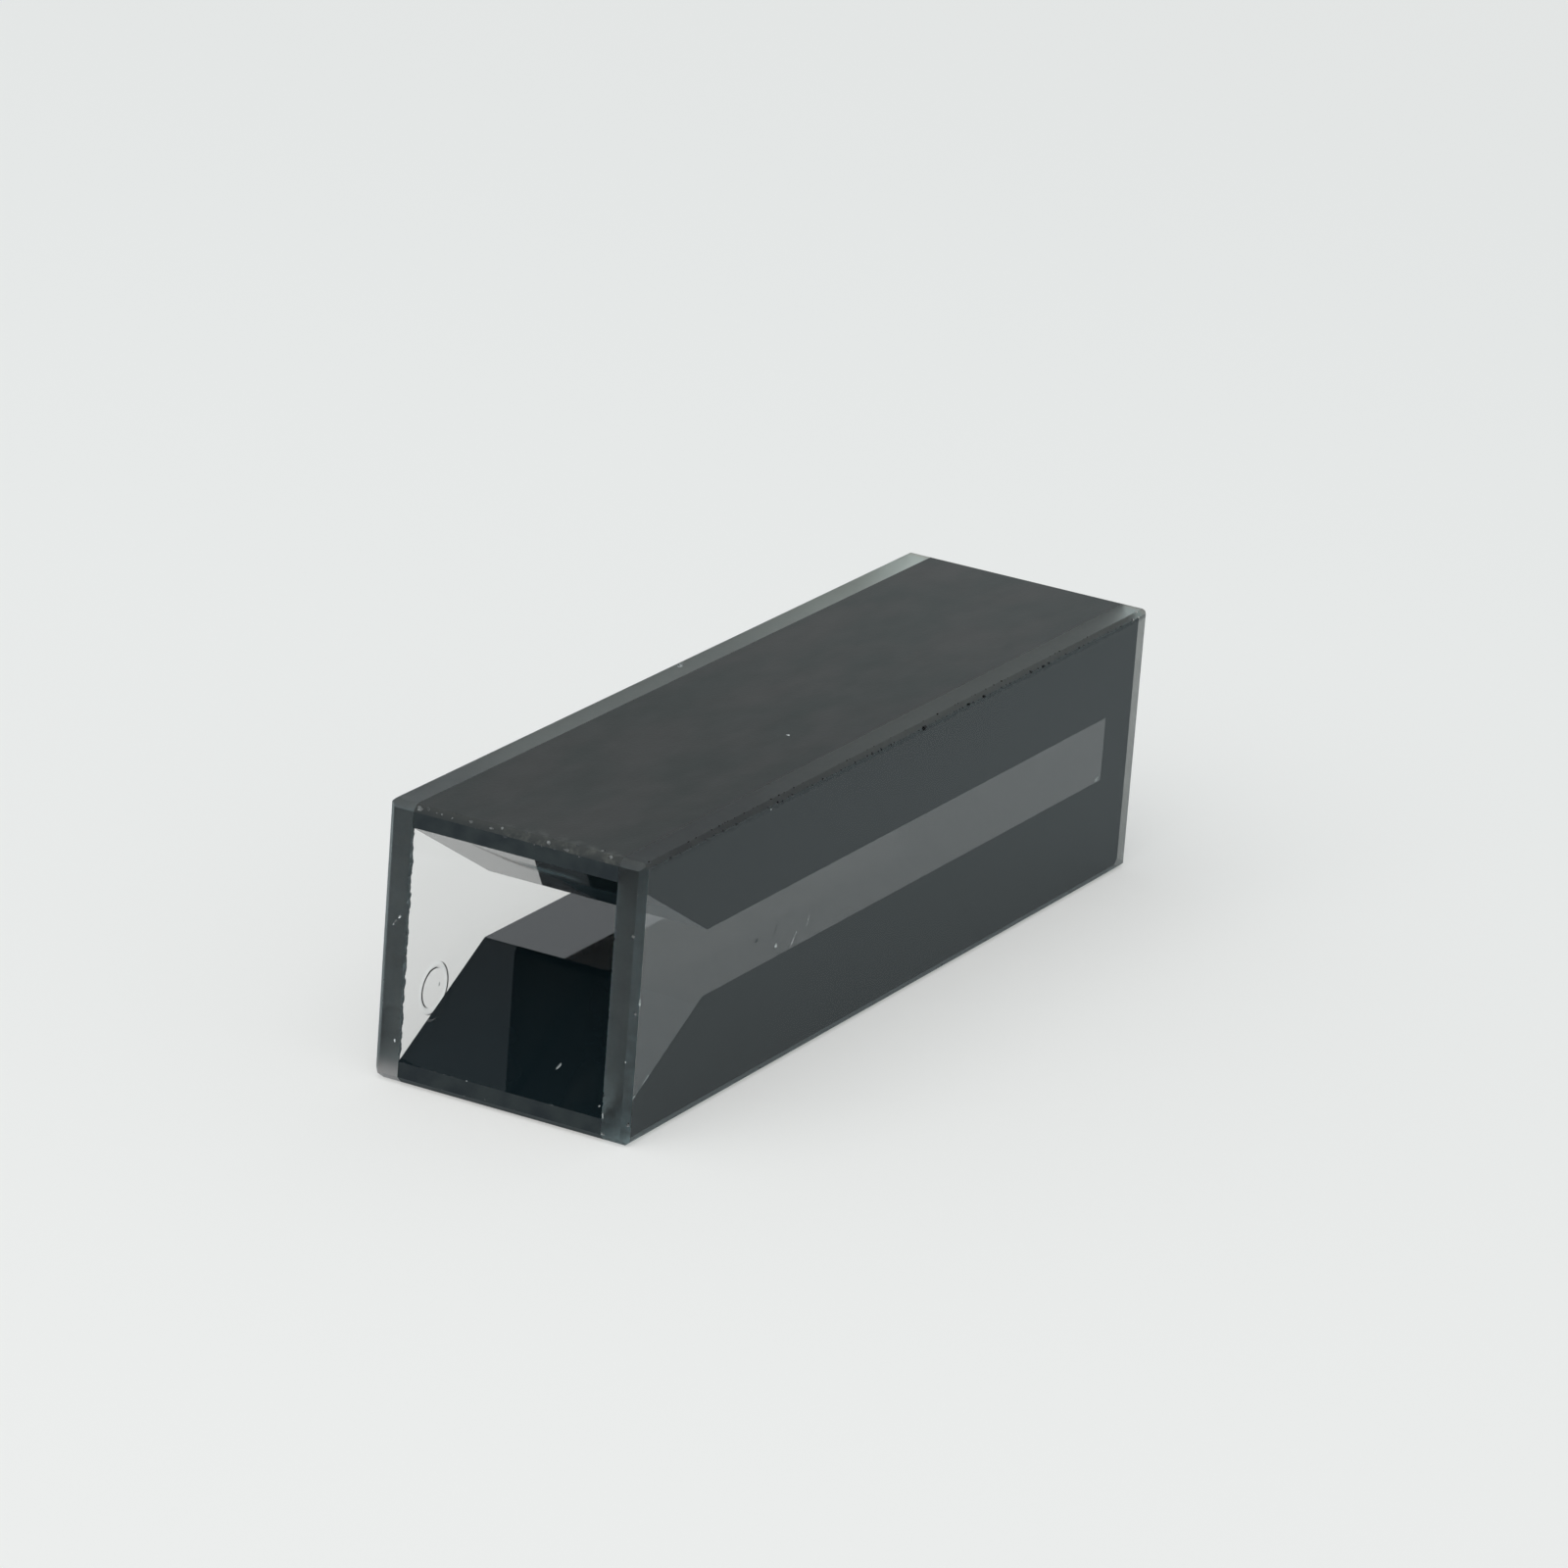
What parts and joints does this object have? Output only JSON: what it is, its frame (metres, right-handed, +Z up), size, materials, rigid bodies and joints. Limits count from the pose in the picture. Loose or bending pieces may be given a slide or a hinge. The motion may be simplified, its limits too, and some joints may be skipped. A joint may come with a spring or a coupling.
{
  "type": "optical cuvette",
  "caption": "Square semi-micro optical cell: clear polished windows fused to black glass blocks, with a funnel mouth that narrows to a slim sample channel.",
  "frame": {"origin": "middle of the black side that the cell lies on", "axes": "+X along the cell from the open mouth to the closed base, Y across the two clear windows along the light path with the front window at -Y, +Z up"},
  "size_m": [0.045, 0.0126, 0.0125],
  "materials": {
    "clear_window": "clear fused glass, large faces polished, edges and bevels fine ground",
    "black_block": "opaque black glass, polished inside, satin ground outside"
  },
  "bodies": {
    "root": {"front_window": "clear_window", "rear_window": "clear_window", "lower_wall": "black_block", "upper_wall": "black_block", "base_block": "black_block"}
  },
  "joints": []
}
